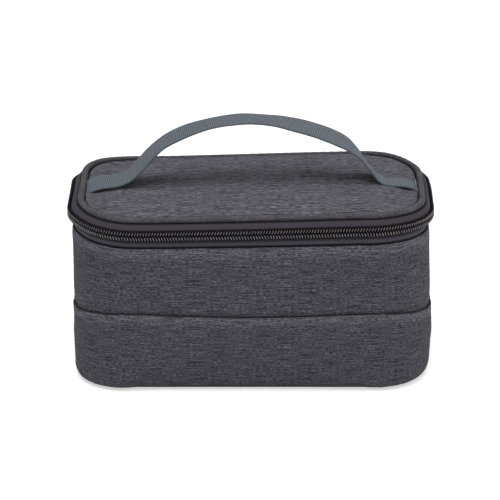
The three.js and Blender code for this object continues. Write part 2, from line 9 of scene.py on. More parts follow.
import bpy
import numpy as np
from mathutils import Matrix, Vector


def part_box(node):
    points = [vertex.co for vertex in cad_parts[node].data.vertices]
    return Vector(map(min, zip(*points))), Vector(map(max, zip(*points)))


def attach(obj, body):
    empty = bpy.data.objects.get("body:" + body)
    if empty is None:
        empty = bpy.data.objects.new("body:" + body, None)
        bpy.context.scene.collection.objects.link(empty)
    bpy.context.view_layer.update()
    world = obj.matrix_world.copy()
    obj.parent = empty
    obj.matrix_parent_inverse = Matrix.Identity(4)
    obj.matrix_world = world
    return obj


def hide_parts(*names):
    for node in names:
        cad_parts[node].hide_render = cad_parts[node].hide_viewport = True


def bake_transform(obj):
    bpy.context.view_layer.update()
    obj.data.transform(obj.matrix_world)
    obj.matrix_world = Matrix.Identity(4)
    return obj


MM = 0.001
TAU = 2 * math.pi

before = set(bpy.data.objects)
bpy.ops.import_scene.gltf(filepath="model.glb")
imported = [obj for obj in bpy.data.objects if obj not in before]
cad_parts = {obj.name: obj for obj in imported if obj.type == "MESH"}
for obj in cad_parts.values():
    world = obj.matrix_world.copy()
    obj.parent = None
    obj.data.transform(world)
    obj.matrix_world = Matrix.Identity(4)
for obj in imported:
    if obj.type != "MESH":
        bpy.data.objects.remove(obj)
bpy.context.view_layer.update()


def box_mm(node):
    """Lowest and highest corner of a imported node."""
    low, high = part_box(node)
    return np.array(low) / MM, np.array(high) / MM


def unit(rows):
    """The rows, each made one long."""
    return rows / np.linalg.norm(rows, axis=1)[:, None]


def picked(want, run, rows):
    """Rows at given distances, on straight lines between their neighbours."""
    return np.column_stack([np.interp(want, run, column) for column in rows.T])


def set_all(target, **values):
    """Sets a Blender object's own values, and gives it back."""
    for name, value in values.items():
        setattr(target, name, value)
    return target


def run_of(line):
    """Distance run so far at each point of a line."""
    return np.concatenate([[0], np.cumsum(np.linalg.norm(np.diff(line, axis=0), axis=1))])


# Main places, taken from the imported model
RIDGE_RADIUS = 43
CHAIN_HALF = 3
PIPING_RADIUS = 2.1
TEETH_LOW = box_mm("body_zip_teeth")[0]
CORE_X = -TEETH_LOW[0] - RIDGE_RADIUS
CORE_Y = -TEETH_LOW[1] - RIDGE_RADIUS
UPPER_LOW, UPPER_HIGH = box_mm("upper_wrap")
SEAM_Z = UPPER_LOW[2]
MOUTH_Z = UPPER_HIGH[2]
ZIP_Z = TEETH_LOW[2] + CHAIN_HALF
PIPING_Z = box_mm("lid_piping")[1][2] - PIPING_RADIUS

# The wall's outer face
MOUTH_RADIUS = 40.2
BELLY_RADIUS = 42.1
BASE_RADIUS = 41.6
BELLY_Z = 50
BASE_Z = 8.3
EDGE_RADIUS = 8
SIDE_SWELL = 3.6
DENT_DEPTH = 0.7

# Layers behind it
CLOTH_THICKNESS = 0.5
FOIL_THICKNESS = 0.25
HINGE_THICKNESS = 0.9
FOAM_SETBACK = 2.6
FOAM_THICKNESS = 4.2
FOAM_LEAST_RADIUS = 33.9
FOAM_TOP_Z = 99.4
LINING_RADIUS = 33.4
FLOOR_FOIL_Z = 7.25

# Lid, zip and strap
PIPING_CENTRE = 34.4
LID_EDGE_RADIUS = 30.6
LID_EDGE_Z = 118.5
LID_DOME = 3
LID_EDGE_LIFT = 1.2
LID_FOAM_RADIUS = 31.2
LID_FOAM_Z = 117.1
LID_FOIL_Z = 111.7
COIL_RADIUS = 42
COIL_PITCH = 1.8
COIL_WIRE = 0.42
STITCH_RADIUS = COIL_RADIUS + 1.15
STITCH_WIRE = 0.26
SLIDER_RUN_ANGLES = (5, 90)
SLIDER_RUN_REACH = 9
STRAP_WIDTH = 20
STRAP_THICKNESS = 1.6

# Spacing of the route's stations, and the radius at which it is measured
SPACING = 2.5
ROUTE_RADIUS = 42


# Route round the bag
def route_leg(core_from, core_to, angle_from, angle_to):
    """Stations of one leg without its last one: core point, outward angle and step length."""
    core_from, core_to = np.array(core_from, float), np.array(core_to, float)
    turn = math.radians(angle_to - angle_from)
    length = np.linalg.norm(core_to - core_from) + abs(turn) * ROUTE_RADIUS
    count = max(1, round(length / SPACING))
    share = np.arange(count) / count
    core = core_from + (core_to - core_from) * share[:, None]
    angle = math.radians(angle_from) + turn * share
    return core, angle, np.full(count, length / count)


class Route:
    """A line of stations: core points, outward directions and the distance run so far."""

    def __init__(self, core, out, s, closed):
        self.core, self.out, self.s, self.closed = core, out, s, closed
        self.count = len(s)


def whole_route():
    """Once round the bag from the middle of the back, side by side and corner by corner."""
    x, y = CORE_X, CORE_Y
    corners = [(0, y), (-x, y), (-x, -y), (x, -y), (x, y), (0, y)]
    legs = []
    for number, (here, there) in enumerate(zip(corners, corners[1:])):
        angle = 90 * (number + 1) % 360
        legs.append(route_leg(here, there, angle, angle))
        if number < 4:
            legs.append(route_leg(there, there, angle, angle + 90))
    core, angles, steps = (np.concatenate(part) for part in zip(*legs))
    out = np.stack([np.cos(angles), np.sin(angles)], 1)
    return Route(core, out, np.concatenate([[0], np.cumsum(steps)]), True)


def sampled(distances, closed=False):
    """Stations of the whole route at given distances."""
    core = picked(distances, ROUND.s, np.concatenate([ROUND.core, ROUND.core[:1]]))
    out = picked(distances, ROUND.s, np.concatenate([ROUND.out, ROUND.out[:1]]))
    return Route(core, unit(out), distances, closed)


# The closed route has one distance more than it has stations: the whole way round
ROUND = whole_route()
ROUND.count = len(ROUND.core)
PERIMETER = ROUND.s[-1]

# The zip runs from one end of the straight back round to the other
ZIP_START = CORE_X
ZIP_END = PERIMETER - CORE_X


def wall_radii(heights):
    """The wall's outer radii, stations by heights: fullest at the belly of the long sides."""
    aside = np.clip(np.abs(ROUND.core[:, :1]) / CORE_X, 0, 1)
    long_side = np.abs(ROUND.out[:, 1:]) > 0.999
    belly = BELLY_RADIUS + SIDE_SWELL * np.cos(aside * math.pi / 2) ** 1.2 * long_side
    upper = heights > BELLY_Z
    reach = np.where(upper, MOUTH_Z - BELLY_Z, BELLY_Z - BASE_Z)
    end = np.where(upper, MOUTH_RADIUS, BASE_RADIUS)
    share = (heights - BELLY_Z) / reach
    return belly - (belly - end) * share * share


# How much higher the top of the standing bag is than drawn, from its left to its right. The lean
# begins at a height, and it is whole some way above it.
LEAN_AT = (-118, -111, -105, -95, -84, -70, -50, -25, 0, 40, 75, 92, 104, 118)
LEAN_BY = (0.5, 0.2, -0.7, -1.5, -2.0, -2.3, -2.0, -1.4, -0.8, 0.2, 1.0, 1.2, 1.0, 0.6)
LEAN_FROM_Z = 54
LEAN_HEIGHT = 54

# How far the short sides stand off their drawn place, outwards, from the base to the zip
SIDE_AT = (0, 4, 11, 22, 32, 39, 47, 57, 68, 79, 89, 96, 102)
LEFT_BY = (-1.4, -2.3, -2.3, -1.8, -1.4, -1.6, -1.8, -2.2, -1.9, -1.7, -1.3, -0.3, 0)
RIGHT_BY = (-0.8, -0.6, 0.1, 0.4, 1.3, 1.3, 0.8, -0.2, -0.3, -0.6, -0.6, 0, 0)

# How much lower the middle seam lies than drawn, from the middle of the bag to its short sides
SEAM_DIP_AT = (0, 40, 84, 100, 108, 113, 119)
SEAM_DIP_BY = (1.5, 1.3, 0.8, 3.4, 5.6, 7.0, 7.6)
SEAM_DIP_REACH = 18

# How much lower the seam at the mouth lies than drawn, at heights round it
MOUTH_DROP_AT = (84, 101, 103.5, 106)
MOUTH_DROP_BY = (0, 1.5, 1.0, 0)

# How far the upright corners are pushed out, from the base to the zip
CORNER_AT = (0, 20, 54, 80, 100, 106)
LEFT_FILL = (5.0, 4.0, 2.4, 1.2, 0.2, 0)
RIGHT_FILL = (3.0, 3.0, 2.2, 1.2, 0.2, 0)

# Small wander of every piece, sideways and up
WANDER = 0.45
RISE_WANDER = 0.35

# How far the rear corners are drawn out at the left and right, and raised: at the zip, at the lid
LEFT_DRAW = (-1.8, 0.4)
RIGHT_DRAW = (-3.0, -2.2)
REAR_RISE = (-1.0, 0.8)

# How far the lid's right side stands out, short of its rear corner
LID_SIDE_OUT = 1.2


# Soft unevenness shared by every piece, so that neighbours keep their distances
def smoothstep(low, high, value):
    t = np.clip((value - low) / (high - low), 0, 1)
    return t * t * (3 - 2 * t)


def waves(points, seed, lengths):
    """A smooth number from -1 to 1 at each point or flat place, made from crossing waves."""
    rng = np.random.default_rng(seed)
    total = np.zeros(len(points))
    for length in lengths:
        direction = rng.normal(size=3)
        direction /= np.linalg.norm(direction)
        run = points @ direction[: points.shape[1]]
        total += np.sin(run * TAU / length + rng.uniform(0, TAU))
    return total / len(lengths)


def corner_fill(points):
    """Pushes the upright corners out below the zip, where the filled bag is squarer."""
    x, y, z = points.T
    past = np.column_stack([np.abs(x) - CORE_X, np.abs(y) - CORE_Y]).clip(0)
    reach = np.hypot(past[:, 0], past[:, 1]).clip(1e-6)
    diagonal = 2 * past[:, 0] * past[:, 1] / reach**2
    left = np.interp(z, CORNER_AT, LEFT_FILL)
    right = np.interp(z, CORNER_AT, RIGHT_FILL)
    amount = np.where(x < 0, left, right) * diagonal * smoothstep(10, 34, reach)
    push = past / reach[:, None] * amount[:, None]
    return np.column_stack([np.sign(x) * push[:, 0], np.sign(y) * push[:, 1], 0 * z])


def near_slider_run(points):
    """Nearness to the corner that the slider runs round, 1 on its way and 0 far off."""
    x, y, z = (points - (CORE_X, CORE_Y, ZIP_Z)).T
    low, high = np.radians(SLIDER_RUN_ANGLES)
    angle = np.clip(np.arctan2(y, x), low, high)
    off_x, off_y = x - COIL_RADIUS * np.cos(angle), y - COIL_RADIUS * np.sin(angle)
    off_z = 3 * np.clip(np.abs(z) - 2.6, 0, None)
    distance = off_x**2 + off_y**2 + off_z**2
    return np.exp(-distance / (2 * SLIDER_RUN_REACH**2))


def settle(points):
    """Moves points the way the standing bag has settled: slightly uneven seams, right side up."""
    x, y, z = points.T
    near_slider = near_slider_run(points)
    free = smoothstep(4, 40, z) * (1 - near_slider)
    lean = np.interp(x, LEAN_AT, LEAN_BY)
    lean = lean * np.clip((z - LEAN_FROM_Z) / LEAN_HEIGHT, 0, 1) ** 2.2
    moved = points.copy()
    moved[:, 0] += WANDER * free * waves(points, 3, (90, 140, 60))
    moved[:, 1] += WANDER * free * waves(points, 5, (100, 150, 70))
    moved[:, 2] += free * (RISE_WANDER * waves(points, 7, (70, 120, 180)) + lean)
    moved += corner_fill(points)

    side_by = np.where(x < 0, -np.interp(z, SIDE_AT, LEFT_BY), np.interp(z, SIDE_AT, RIGHT_BY))
    moved[:, 0] += side_by * smoothstep(60, 108, np.abs(x))
    near_seam = np.exp(-(((z - SEAM_Z) / SEAM_DIP_REACH) ** 2))
    moved[:, 2] -= np.interp(np.abs(x), SEAM_DIP_AT, SEAM_DIP_BY) * near_seam
    moved[:, 2] -= np.interp(z, MOUTH_DROP_AT, MOUTH_DROP_BY) * (1 - near_slider)

    lid_level = smoothstep(113, 117, z)
    zip_level = smoothstep(100, 106, z) * (1 - lid_level)
    moved[:, 0] += LID_SIDE_OUT * smoothstep(60, 105, x) * smoothstep(40, 20, y) * lid_level
    rear_corner = smoothstep(18, 50, y) * smoothstep(82, 104, np.abs(x)) * (1 - near_slider)
    left_draw = LEFT_DRAW[0] * zip_level + LEFT_DRAW[1] * lid_level
    right_draw = RIGHT_DRAW[0] * zip_level + RIGHT_DRAW[1] * lid_level
    drawn = rear_corner * np.where(x < 0, left_draw, right_draw)
    moved[:, 0] += np.sign(x) * 0.8 * drawn
    moved[:, 1] += 0.6 * drawn
    moved[:, 2] += rear_corner * (REAR_RISE[0] * zip_level + REAR_RISE[1] * lid_level)
    return moved


# Making meshes
def placed(name, data):
    """A new object in the scene."""
    obj = bpy.data.objects.new(name, data)
    bpy.context.scene.collection.objects.link(obj)
    return obj


def mesh_object(name, points, faces, uv=None, settled=True):
    """A smooth mesh from points in millimetres. The uv list has one pair in metres per corner."""
    points = np.asarray(points, float)
    if settled:
        points = settle(points)
    mesh = bpy.data.meshes.new(name)
    mesh.from_pydata((points * MM).tolist(), [], faces)
    mesh.polygons.foreach_set("use_smooth", [True] * len(mesh.polygons))
    if uv is not None:
        layer = mesh.uv_layers.new(name="weave")
        layer.data.foreach_set("uv", np.asarray(uv, float).ravel())
    mesh.update()
    return placed(name, mesh)


def add_point_value(obj, name, values):
    """Values that a material reads by name, one for each point."""
    attribute = obj.data.attributes.new(name, "FLOAT", "POINT")
    attribute.data.foreach_set("value", np.asarray(values, np.float32).ravel())


def section_points(route, section):
    """Points of a section at every station. The section is (M, 2), or (N, M, 2) if it varies."""
    section = np.asarray(section, float)
    if section.ndim == 2:
        section = np.broadcast_to(section, (route.count, *section.shape))
    xy = route.core[:, None, :] + route.out[:, None, :] * section[:, :, :1]
    return np.concatenate([xy, section[:, :, 1:2]], 2)


def run_lengths(points, axis_closed):
    """Distance along the second axis of a grid of points, averaged over the first."""
    steps = np.linalg.norm(np.diff(points, axis=1), axis=2).mean(0)
    run = np.concatenate([[0], np.cumsum(steps)])
    if axis_closed:
        run = np.append(run, run[-1] + np.linalg.norm(points[:, -1] - points[:, 0], axis=1).mean())
    return run


def grid_faces(rows, columns, closed_rows, closed_columns):
    """Faces over a grid whose index is row * columns + column, with their corners' grid places."""
    faces, places = [], []
    for i in range(rows if closed_rows else rows - 1):
        for j in range(columns if closed_columns else columns - 1):
            corners = [(i, j), (i + 1, j), (i + 1, j + 1), (i, j + 1)]
            faces.append([(a % rows) * columns + b % columns for a, b in corners])
            places.extend(corners)
    return faces, np.array(places)


def loft(name, route, points, tube=False, settled=True):
    """A mesh over a grid of points, stations by section points. A tube closes its section."""
    count, size = points.shape[:2]
    faces, places = grid_faces(count, size, route.closed, tube)
    along = route.s if len(route.s) > count else np.append(route.s, route.s[-1])
    run = run_lengths(points, tube)
    uv = np.stack([along[places[:, 0]], run[places[:, 1]]], 1) * MM
    if tube and not route.closed:
        faces = faces + [list(range(size))[::-1], [(count - 1) * size + k for k in range(size)]]
        uv = np.concatenate([uv, np.zeros((2 * size, 2))])
    return mesh_object(name, points.reshape(-1, 3), faces, uv, settled)


def solidify(obj, thickness):
    """Gives a sheet its thickness, inwards."""
    modifier = obj.modifiers.new("thickness", "SOLIDIFY")
    set_all(modifier, thickness=thickness * MM, offset=-1, use_even_offset=False)


def subdivide(obj):
    set_all(obj.modifiers.new("smooth", "SUBSURF"), levels=1, render_levels=1)


# Cloth
CLOTH_FRAMES = 20


def let_swell(points, faces, pinned, pressure, most, shrink):
    """Blows a mesh up a little as cloth. No point moves further than the given most."""
    flat = points.reshape(-1, 3)
    obj = mesh_object("cloth_work", flat, faces, settled=False)
    obj.vertex_groups.new(name="pinned").add(np.flatnonzero(pinned).tolist(), 1, "REPLACE")
    cloth = obj.modifiers.new("cloth", "CLOTH")
    settings = set_all(cloth.settings, quality=6, mass=0.25, vertex_group_mass="pinned")
    set_all(settings, tension_stiffness=18, compression_stiffness=18, shear_stiffness=8)
    set_all(settings, bending_stiffness=1.2, shrink_min=shrink)
    set_all(settings, use_pressure=True, uniform_pressure_force=pressure)
    settings.effector_weights.gravity = 0
    cloth.collision_settings.use_collision = False
    scene = bpy.context.scene
    for number in range(1, CLOTH_FRAMES + 1):
        scene.frame_set(number)
    shaped = obj.evaluated_get(bpy.context.evaluated_depsgraph_get())
    moved = np.empty(len(shaped.data.vertices) * 3)
    shaped.data.vertices.foreach_get("co", moved)
    scene.frame_set(1)
    bpy.data.objects.remove(obj)
    way = moved.reshape(-1, 3) / MM - flat
    length = np.linalg.norm(way, axis=1, keepdims=True)
    return (flat + way * np.minimum(1, most / np.maximum(length, 1e-9))).reshape(points.shape)


# Materials
WEAVE_PITCH = 0.62
TAPE_THREAD_PITCH = 0.55


def set_inputs(node, values):
    for socket, value in values.items():
        node.inputs[socket].default_value = value


class Nodes:
    """The nodes of a world or a material. An output is given as a (node, name) pair."""

    def __init__(self, owner):
        owner.use_nodes = True
        self.tree = owner.node_tree
        self.tree.nodes.clear()

    def add(self, kind, **values):
        return set_all(self.tree.nodes.new("ShaderNode" + kind), **values)

    def join(self, output, target, socket):
        source, name = output
        self.tree.links.new(source.outputs[name], target.inputs[socket])

    def math(self, operation, *values):
        """A maths node on numbers or on outputs."""
        node = self.add("Math", operation=operation)
        for index, value in enumerate(values):
            if isinstance(value, tuple):
                self.join(value, node, index)
            else:
                node.inputs[index].default_value = value
        return node, "Value"

    def product(self, first, *others):
        for other in others:
            first = self.math("MULTIPLY", first, other)
        return first


class Shader(Nodes):
    """A material with one surface and its patterns."""

    def __init__(self, name):
        self.material = bpy.data.materials.new(name)
        super().__init__(self.material)
        self.surface = self.add("BsdfPrincipled")
        self.join((self.surface, "BSDF"), self.add("OutputMaterial"), "Surface")

    def weave_uv(self):
        """The cloth's own lengths along and across, in millimetres."""
        uv = self.add("UVMap", uv_map="weave")
        split = self.add("SeparateXYZ")
        self.join((uv, "UV"), split, "Vector")
        return self.product((split, "X"), 1 / MM), self.product((split, "Y"), 1 / MM)

    def noise(self, cloth, along, across, seed=0.0, detail=2.0, roughness=0.5):
        """Noise over the cloth, with its scales along and across per millimetre."""
        place = self.add("CombineXYZ")
        set_inputs(place, {"Z": seed})
        self.join(self.product(cloth[0], along), place, "X")
        self.join(self.product(cloth[1], across), place, "Y")
        node = self.add("TexNoise")
        set_inputs(node, {"Scale": 1, "Detail": detail, "Roughness": roughness})
        self.join((place, "Vector"), node, "Vector")
        return node, "Fac"

    def value_of(self, name):
        return self.add("Attribute", attribute_name=name), "Fac"

    def remap(self, value, low, high, to_low, to_high, smooth=False):
        node = self.add("MapRange")
        if smooth:
            node.interpolation_type = "SMOOTHSTEP"
        set_inputs(node, {"From Min": low, "From Max": high, "To Min": to_low, "To Max": to_high})
        self.join(value, node, "Value")
        return node, "Result"

    def tint(self, base, factor):
        """The base colour multiplied by a factor."""
        node = self.add("VectorMath", operation="SCALE")
        set_inputs(node, {0: base})
        self.join(factor, node, "Scale")
        self.join((node, "Vector"), self.surface, "Base Color")

    def bump(self, height, strength, distance):
        node = self.add("Bump")
        set_inputs(node, {"Strength": strength, "Distance": distance * MM})
        self.join(height, node, "Height")
        self.join((node, "Normal"), self.surface, "Normal")

    def finish(self, roughness, sheen=0.0, metallic=0.0, specular=0.5):
        values = {"Roughness": roughness, "Metallic": metallic, "Specular IOR Level": specular}
        set_inputs(self.surface, {**values, "Sheen Weight": sheen, "Sheen Roughness": 0.4})
        return self.material


def melange_fabric(name, base, contrast=1.0, tall=1.0, twill_share=0.13, reach=1.0):
    """Heathered weave: streaked yarns along, fine threads across and a faint diagonal twill.

    Higher values of tall and reach make the streaks taller and longer. The point value "seam"
    darkens the cloth as painted shade in the shadowed gaps and folds at a seam. A second point
    value brings the twill out where the cloth is drawn tight beside a seam, and lightens it there
    as a painted highlight, where the cloth turns towards the light.
    """
    m = Shader(name)
    cloth = m.weave_uv()
    u, v = cloth
    yarn = m.noise(cloth, 0.07 / reach, 1.8 / tall, 0.0, 3, 0.6)
    thread = m.noise(cloth, 0.45 / reach, 1.5 / tall, 7.0, 2, 0.6)
    cloud = m.noise(cloth, 0.02, 0.05, 3.0)
    streak = m.remap(yarn, 0.34, 0.66, 1 - 0.5 * contrast, 1 + 0.5 * contrast)
    fine = m.remap(thread, 0.32, 0.68, 1 - 0.6 * contrast, 1 + 0.6 * contrast)
    broad = m.remap(cloud, 0.3, 0.7, 0.96, 1.04)
    across = m.math("SINE", m.product(u, TAU / WEAVE_PITCH))
    along = m.math("SINE", m.product(v, TAU / WEAVE_PITCH))
    weave = m.product(across, along)
    shade = m.remap(weave, -1, 1, 0.9, 1.1)
    slant = m.math("SUBTRACT", m.product(u, TAU / 1.9), m.product(v, TAU / 2.3))
    bunch = m.noise(cloth, 0.16, 0.2, 11.0, 1)
    twill = m.product(m.math("SINE", slant), m.remap(bunch, 0.35, 0.6, 0.15, 1.3))
    # The band beside a seam shows more twill, and is made up to 1.6 times lighter as a painted
    # highlight where it turns towards the light.
    taut_highlight = m.value_of("taut_highlight")
    amount = m.remap(taut_highlight, 0, 1, twill_share, 0.6)
    painted_highlight_lift = m.remap(taut_highlight, 0, 1, 1.0, 1.6)
    ridge = m.math("MULTIPLY_ADD", twill, amount, painted_highlight_lift)
    # Painted shade: the seam value darkens the cloth in the shadowed gaps and folds at seams.
    seam_shade = m.remap(m.value_of("seam"), 0, 1, 1.0, 0.22, True)
    m.tint(base, m.product(streak, fine, broad, shade, ridge, seam_shade))
    m.bump(m.math("ADD", weave, m.product(yarn, 2.2)), 0.4, 0.14)
    return m.finish(0.85, sheen=0.05, specular=0.18)


def ribbed_tape(name, base, pitch, roughness=0.8, sheen=0.2, depth=0.15, lean=0.0, contrast=0.3):
    """Woven tape with ribs across its length."""
    m = Shader(name)
    cloth = m.weave_uv()
    u, v = cloth
    run = m.math("ADD", u, m.product(v, lean)) if lean else u
    ribs = m.math("SINE", m.product(run, TAU / pitch))
    threads = m.math("SINE", m.product(v, TAU / TAPE_THREAD_PITCH))
    mottle = m.noise(cloth, 0.8, 0.9, 0.0, 3, 0.6)
    shade = m.remap(ribs, -1, 1, 1 - contrast, 1 + contrast * 0.7)
    speck = m.remap(mottle, 0.3, 0.7, 0.76, 1.24)
    # Painted shade: the seam value darkens the tape where it is folded away or lies in the shade under
    # the coil.
    seam_shade = m.remap(m.value_of("seam"), 0, 1, 1.0, 0.2, True)
    m.tint(base, m.product(shade, speck, seam_shade))
    m.bump(m.math("ADD", ribs, m.product(threads, 0.35)), 0.6, depth)
    return m.finish(roughness, sheen=sheen, specular=0.15)


def crinkled_foil(name, base):
    """Soft metallic film, creased at two sizes."""
    m = Shader(name)
    cloth = m.weave_uv()
    creases = m.noise(cloth, 0.06, 0.06, 0.0, 4, 0.6)
    fine = m.noise(cloth, 0.5, 0.5, 4.0)
    m.tint(base, m.remap(creases, 0.3, 0.7, 0.9, 1.1))
    m.bump(m.math("ADD", creases, m.product(fine, 0.15)), 0.8, 2.5)
    return m.finish(0.36, metallic=0.75)


def foam_skin(name, base):
    """Matte foam with small cells."""
    m = Shader(name)
    cells = m.noise(m.weave_uv(), 1.6, 1.6, 0.0, 3, 0.6)
    m.tint(base, m.remap(cells, 0.3, 0.7, 0.9, 1.06))
    m.bump(cells, 0.5, 0.4)
    return m.finish(0.9)


def nylon(name, base):
    """Glossy nylon of the coil."""
    m = Shader(name)
    mottle = m.noise(m.weave_uv(), 0.3, 0.3)
    m.tint(base, m.remap(mottle, 0.3, 0.7, 0.8, 1.2))
    return m.finish(0.3, specular=0.12)


def gunmetal(name, base):
    """Satin dark metal with a faint cast grain and rubbed edges."""
    m = Shader(name)
    place = m.add("TexCoord")
    grain = m.add("TexNoise")
    set_inputs(grain, {"Scale": 900, "Detail": 3})
    m.join((place, "Object"), grain, "Vector")
    shape = m.add("NewGeometry")
    rubbed = m.remap((shape, "Pointiness"), 0.5, 0.62, 1.0, 2.2)
    speck = m.remap((grain, "Fac"), 0.3, 0.7, 0.85, 1.15)
    m.tint(base, m.product(rubbed, speck))
    m.bump((grain, "Fac"), 0.25, 0.08)
    return m.finish(0.38, metallic=0.9)


FABRIC = melange_fabric("outer_fabric", (0.067, 0.065, 0.078), 1.3)
LID_FABRIC = melange_fabric("outer_fabric_lid", (0.089, 0.087, 0.102), 1.2, 1.7, 0.1, 1.8)
PIPING_FABRIC = melange_fabric("piping_fabric", (0.074, 0.072, 0.081), 0.7, 1.2, 0.38)
WEBBING = ribbed_tape("handle_webbing", (0.12, 0.14, 0.164), 1.5, 0.75, 0.15, 0.3, 0.12, 0.42)
# The stitch thread's light colour is partly the real thread and partly a painted glint of the coil's
# turns. The body's copy is lighter than the lid's, as painted light on one thread.
LID_THREAD_GLINT = ribbed_tape("zip_thread_glint_lid", (0.2, 0.19, 0.2), 0.5, 0.6, 0.1, 0.05)
BODY_THREAD_GLINT = ribbed_tape("zip_thread_glint_body", (0.26, 0.25, 0.26), 0.5, 0.6, 0.1, 0.05)
FOAM = foam_skin("foam", (0.78, 0.78, 0.75))
FOIL = crinkled_foil("foil_lining", (0.5, 0.51, 0.53))
BINDING = ribbed_tape("binding_tape", (0.018, 0.017, 0.02), 0.9, 0.85, 0.2, 0.15)
# The body's tape is the lid's tape made lighter, as painted light: its band faces slightly down and
# gets less light.
LID_TAPE = ribbed_tape("zip_tape_lid", (0.047, 0.043, 0.055), 0.7, 0.85, 0.06, 0.08, contrast=0.12)
BODY_TAPE_LIGHTENED = ribbed_tape("zip_tape_body_lightened", (0.076, 0.071, 0.09), 0.7, 0.85, 0.06, 0.08, contrast=0.12)
TEETH = nylon("zip_teeth", (0.005, 0.0045, 0.006))
METAL = gunmetal("zip_metal", (0.07, 0.07, 0.075))


def dress(obj, material, body=None, replaces=()):
    """Gives a piece its finish and the body that it rides on."""
    obj.data.materials.append(material)
    if body:
        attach(obj, body)
    if replaces:
        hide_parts(*replaces)


def sew(obj, seam, material, body, nodes, thickness=CLOTH_THICKNESS):
    """Finishes a cloth: its seam values of painted shade, its thickness and its dress."""
    add_point_value(obj, "seam", seam)
    solidify(obj, thickness)
    subdivide(obj)
    dress(obj, material, body, nodes)


def bind(name, section, body, node):
    """A binding tape folded round a seam."""
    tape = loft(name, ROUND, section_points(ROUND, section), tube=True)
    subdivide(tape)
    dress(tape, BINDING, body, [node])


# Outer wall: one swollen shell, cut at the middle seam
def offset_row(points, index, dr, dz=0.0):
    """A copy of a row of the shell, moved outwards and up."""
    row = points[:, index].copy()
    row[:, :2] += ROUND.out * np.asarray(dr).reshape(-1, 1)
    row[:, 2] += dz
    return row


def outer_shell():
    """The wall as one grid of points, and the row of its middle seam. The foam limits its dents."""
    turns = np.radians(np.linspace(-84, -10, 8))
    bend = EDGE_RADIUS * np.stack([np.cos(turns), np.sin(turns)], 1)
    edge = bend + (BASE_RADIUS - EDGE_RADIUS, BASE_Z)
    heights = np.linspace(BASE_Z, MOUTH_Z, 37)
    edge_part = np.broadcast_to(edge, (ROUND.count, *edge.shape))
    radii = wall_radii(heights)
    wall_part = np.stack([radii, np.broadcast_to(heights, radii.shape)], 2)
    section = np.concatenate([edge_part, wall_part], 1)
    section[:, :, 0] -= 0.6 * np.sin(np.linspace(0, math.pi, section.shape[1]))
    points = section_points(ROUND, section)
    rows = points.shape[1]
    faces, _ = grid_faces(ROUND.count, rows, True, False)
    seam_row = int(np.argmin(np.abs(points[0, :, 2] - SEAM_Z)))
    pinned = np.zeros((ROUND.count, rows))
    pinned[:, :2] = 1
    pinned[:, -1] = 1
    swollen = let_swell(points, faces, pinned.ravel(), 3.0, 2.4, shrink=-0.01)
    out = np.column_stack([ROUND.out, np.zeros(ROUND.count)])[:, None, :]
    way = np.sum((swollen - points) * out, 2, keepdims=True)
    bulge = 0.6 + 1.4 * out[:, :, 1:2] ** 2
    held = np.where(way < 0, DENT_DEPTH * np.tanh(way / DENT_DEPTH), bulge * np.tanh(way / bulge))
    return swollen + (held - way) * out, seam_row


def puckers(route, length, seed):
    """Small gathers along a seam, as a number from -1 to 1 at each station."""
    rng = np.random.default_rng(seed)
    s = route.s[: route.count]
    wander = 2.2 * np.sin(s * TAU / PERIMETER * 7 + rng.uniform(0, TAU))
    return np.sin((s + wander) * TAU / length) * (0.6 + 0.4 * np.sin(s * TAU / PERIMETER * 11 + 1))


def lower_rows(points, seam, gather):
    """The lower wrap: its top edge stands proud of the seam and folds in over it."""
    lower = points[:, : seam + 1].copy()
    for back, proud in ((0, 0.7), (1, 0.5), (2, 0.2)):
        lift = proud + gather * 0.16 * (3 - back) / 3
        lower[:, -1 - back] = offset_row(points, seam - back, lift)
    fold = [(0.8, 0.5), (0.6, 1.1), (0.05, 1.3), (-0.5, 0.9), (-0.7, -0.6)]
    extra = [offset_row(points, seam, dr + gather * 0.12, dz) for dr, dz in fold]
    under = offset_row(points, 0, -2.2)
    return np.concatenate([under[:, None], lower, np.stack(extra, 1)], 1)


def upper_rows(points, seam, gather, top_gather):
    """The upper wrap: tucked in behind the seam, and rolled in at the mouth."""
    upper = points[:, seam:].copy()
    for ahead, sunk in ((0, 0.95), (1, 0.35), (2, 0.1)):
        lift = -sunk + gather * 0.14 * (3 - ahead) / 3
        upper[:, ahead] = offset_row(points, seam + ahead, lift)
    tucked = offset_row(points, seam, -1.6, -2.4)
    last = points.shape[1] - 1
    for back in range(3):
        lift = top_gather * 0.2 * (3 - back) / 3
        upper[:, -1 - back] = offset_row(points, last - back, lift)
    roll = [(-0.1, 0.7), (-0.65, 1.25), (-1.4, 0.9), (-1.7, -0.4)]
    extra = [offset_row(points, last, dr + top_gather * 0.15, dz) for dr, dz in roll]
    return np.concatenate([tucked[:, None], upper, np.stack(extra, 1)], 1)


def build_wrap(name, grid, node, seam_shade_ends, taut_highlight_end):
    """One wrap. The ends list the painted shade values of its first and last rows of points, and the
    band lists the painted highlight of the rows just below its top edge.
    """
    obj = loft(name, ROUND, grid)
    seam = np.zeros(grid.shape[:2])
    taut_highlight = np.zeros(grid.shape[:2])
    first, last = seam_shade_ends
    seam[:, : len(first)] = first
    seam[:, -len(last) :] = last
    taut_highlight[:, -8 : len(taut_highlight_end) - 8] = taut_highlight_end
    add_point_value(obj, "taut_highlight", taut_highlight)
    sew(obj, seam, FABRIC, "bag_body", [node])


def build_wall():
    points, seam = outer_shell()
    gather = puckers(ROUND, 9.5, 2)
    top_gather = puckers(ROUND, 8.0, 4)
    upper = upper_rows(points, seam, gather, top_gather)
    lower = lower_rows(points, seam, gather)
    # Painted shade darkens the tucked and rolled rows at each seam, and a painted highlight lightens
    # the rows just below each wrap's top edge.
    folded = (0.5, 1, 1)
    build_wrap("upper_fabric", upper, "upper_wrap", ((1, 0.9, 0.3), folded), (0.2, 0.6, 1, 1, 1))
    build_wrap("lower_fabric", lower, "lower_wrap", ((1,), folded), (0.3, 0.8, 1, 0.7))


